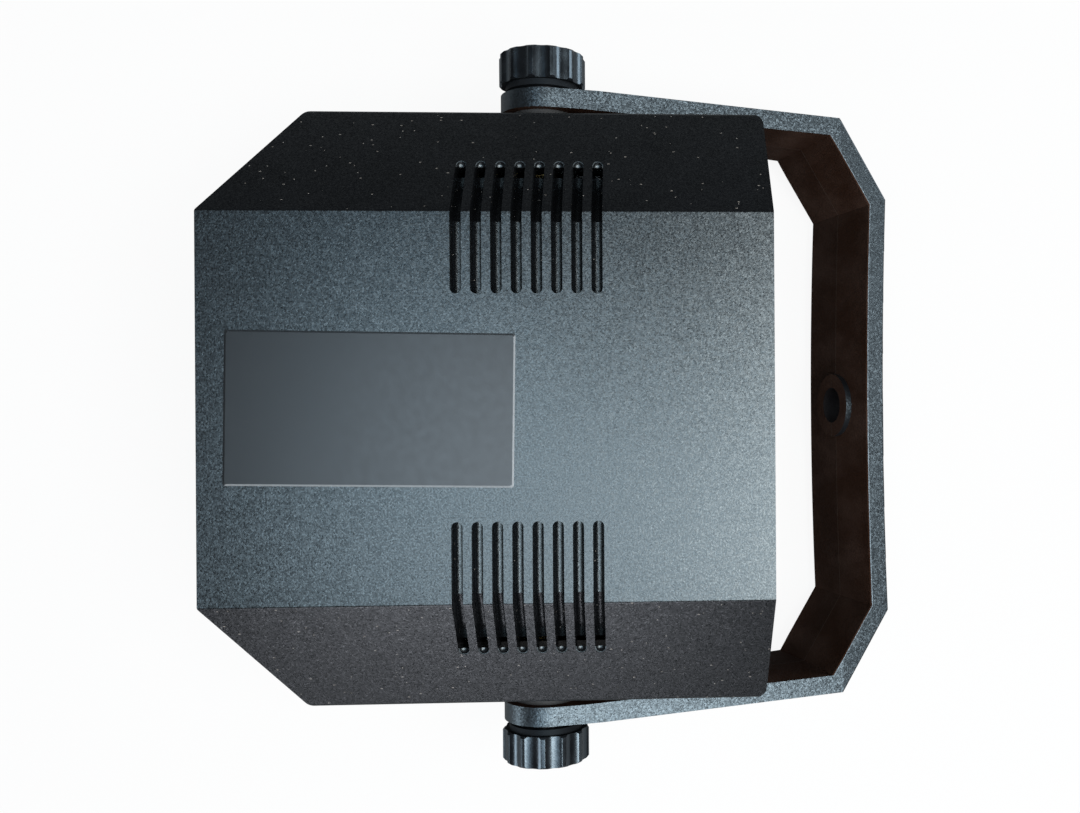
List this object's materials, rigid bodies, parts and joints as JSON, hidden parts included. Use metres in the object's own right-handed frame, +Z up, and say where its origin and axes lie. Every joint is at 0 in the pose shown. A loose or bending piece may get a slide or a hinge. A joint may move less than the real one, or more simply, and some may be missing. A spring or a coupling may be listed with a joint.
{
  "type": "laser show projector",
  "caption": "Compact laser show projector: black eight-sided vented case in a tilting yoke with clamp knobs, front window over a turning pattern wheel, controls at the rear.",
  "frame": {"origin": "middle of the case's flat base", "axes": "+X across along the yoke's tilt axis, +Y towards the rear panel, +Z up through the vented top"},
  "size_m": [0.1956, 0.1801, 0.09],
  "materials": {
    "case_plastic": "black ABS, fine spark texture",
    "panel_plastic": "black ABS, smooth matt",
    "yoke_plastic": "black glass-filled plastic, fine grain",
    "knob_plastic": "black plastic, semi-gloss",
    "clear_glass": "clear float glass",
    "grating_film": "clear embossed film",
    "combiner_glass": "coated glass",
    "silver_mirror": "front-silvered",
    "black_rubber": "matt",
    "bright_steel": "zinc plated",
    "black_steel": "blackened",
    "black_fibre": "pressed fibre",
    "brass": "turned",
    "aluminium": "milled",
    "white_nylon": "moulded nylon",
    "board_green": "solder mask",
    "component_black": "moulded",
    "connector_white": "moulded nylon",
    "led_lens": "tinted lens"
  },
  "bodies": {
    "housing": {"beam_combiner": "combiner_glass", "board_connectors": "connector_white", "board_screws": "bright_steel", "capacitors": "component_black", "case_screws": "bright_steel", "chips": "component_black", "circuit_board": "board_green", "combiner_mount": "aluminium", "fold_mirror": "silver_mirror", "friction_washer_left": "black_fibre", "friction_washer_right": "black_fibre", "front_panel": "panel_plastic", "grating_bracket": "aluminium", "grating_motor": "bright_steel", "green_laser": "brass", "heat_sink": "aluminium", "jack_nut": "bright_steel", "jack_pin": "brass", "laser_block": "aluminium", "lower_shell": "case_plastic", "microphone": "aluminium", "mirror_mount": "aluminium", "mode_switch": "component_black", "optical_plate": "aluminium", "pivot_insert_left": "brass", "pivot_insert_right": "brass", "plate_screws": "bright_steel", "power_jack": "component_black", "power_led": "led_lens", "rear_panel": "panel_plastic", "red_laser": "brass", "regulator_sink": "aluminium", "sensitivity_control": "component_black", "upper_shell": "case_plastic", "window_gasket": "black_rubber", "window_glass": "clear_glass", "window_retainer": "component_black"},
    "yoke": {"yoke": "yoke_plastic"},
    "washer_left": {"captive_washer_left": "black_steel"},
    "knob_left": {"clamp_knob_left": "knob_plastic", "knob_stud_left": "bright_steel"},
    "washer_right": {"captive_washer_right": "black_steel"},
    "knob_right": {"clamp_knob_right": "knob_plastic", "knob_stud_right": "bright_steel"},
    "pattern_wheel": {"grating_gear": "white_nylon", "grating_disc": "grating_film"},
    "pinion": {"motor_pinion": "white_nylon", "motor_shaft": "bright_steel"},
    "dial": {"sensitivity_dial": "knob_plastic", "sensitivity_shaft": "bright_steel"},
    "mode_slider": {"mode_slider": "knob_plastic"}
  },
  "joints": [
    {"name": "yoke_tilt", "type": "hinge", "parent": "housing", "child": "yoke", "pos_m": [0, 0.0102, 0.05], "axis": [1, 0, 0], "range_deg": [-75, 195]},
    {"name": "washer_left_slide", "type": "slide", "parent": "housing", "child": "washer_left", "axis": [-1, 0, 0], "range_m": [0, 0.002]},
    {"name": "knob_left_turn", "type": "hinge", "parent": "washer_left", "child": "knob_left", "pos_m": [-0.0876, 0.0102, 0.05], "axis": [-1, 0, 0], "range_deg": [0, 720]},
    {"name": "washer_right_slide", "type": "slide", "parent": "housing", "child": "washer_right", "axis": [1, 0, 0], "range_m": [0, 0.002]},
    {"name": "knob_right_turn", "type": "hinge", "parent": "washer_right", "child": "knob_right", "pos_m": [0.0876, 0.0102, 0.05], "axis": [1, 0, 0], "range_deg": [0, 720]},
    {"name": "pattern_wheel_spin", "type": "hinge", "parent": "housing", "child": "pattern_wheel", "pos_m": [0, -0.056, 0.046], "axis": [0, 1, 0], "continuous": true},
    {"name": "pinion_spin", "type": "hinge", "parent": "housing", "child": "pinion", "pos_m": [-0.0192, -0.056, 0.046], "axis": [0, 1, 0], "continuous": true},
    {"name": "dial_turn", "type": "hinge", "parent": "housing", "child": "dial", "pos_m": [0.026, 0.072, 0.038], "axis": [0, 1, 0], "range_deg": [-150, 150]},
    {"name": "mode_slide", "type": "slide", "parent": "housing", "child": "mode_slider", "axis": [1, 0, 0], "range_m": [-0.002, 0.002]}
  ],
  "couplings": [
    {"joint": "washer_left_slide", "follows": "knob_left_turn", "m_per_rad": 0.00015915},
    {"joint": "washer_right_slide", "follows": "knob_right_turn", "m_per_rad": 0.00015915},
    {"joint": "pinion_spin", "follows": "pattern_wheel_spin", "ratio": -3}
  ]
}
